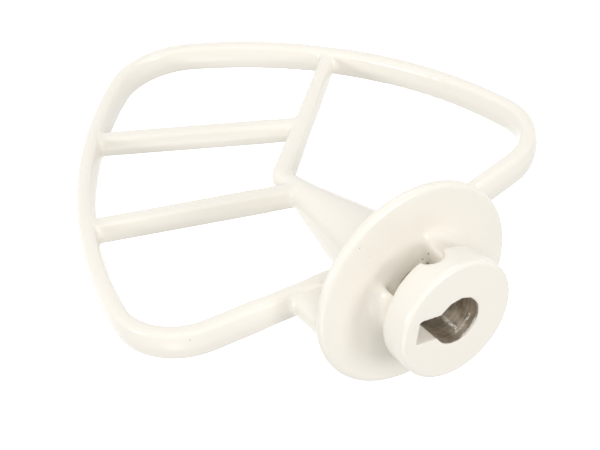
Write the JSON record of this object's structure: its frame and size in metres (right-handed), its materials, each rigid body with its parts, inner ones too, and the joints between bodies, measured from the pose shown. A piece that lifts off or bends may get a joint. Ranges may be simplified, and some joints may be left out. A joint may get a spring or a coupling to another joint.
{
  "type": "stand mixer flat beater",
  "caption": "Cream-coated cast beater for a tilt-head stand mixer: shield-shaped loop with cross-bars, stem, splash flange and a bayonet drive collar.",
  "frame": {"origin": "centre of the drive bore on the collar's front face", "axes": "+Z along the bore, out of the collar's mouth; the loop lies in the XZ plane, +X towards the side with the cross-bars, -Y is the face that the picture shows"},
  "size_m": [0.1342, 0.0572, 0.1577],
  "materials": {
    "cream_coating": "satin coating over cast aluminium, bore left bare"
  },
  "bodies": {
    "root": {"flat_beater": "cream_coating"}
  },
  "joints": []
}
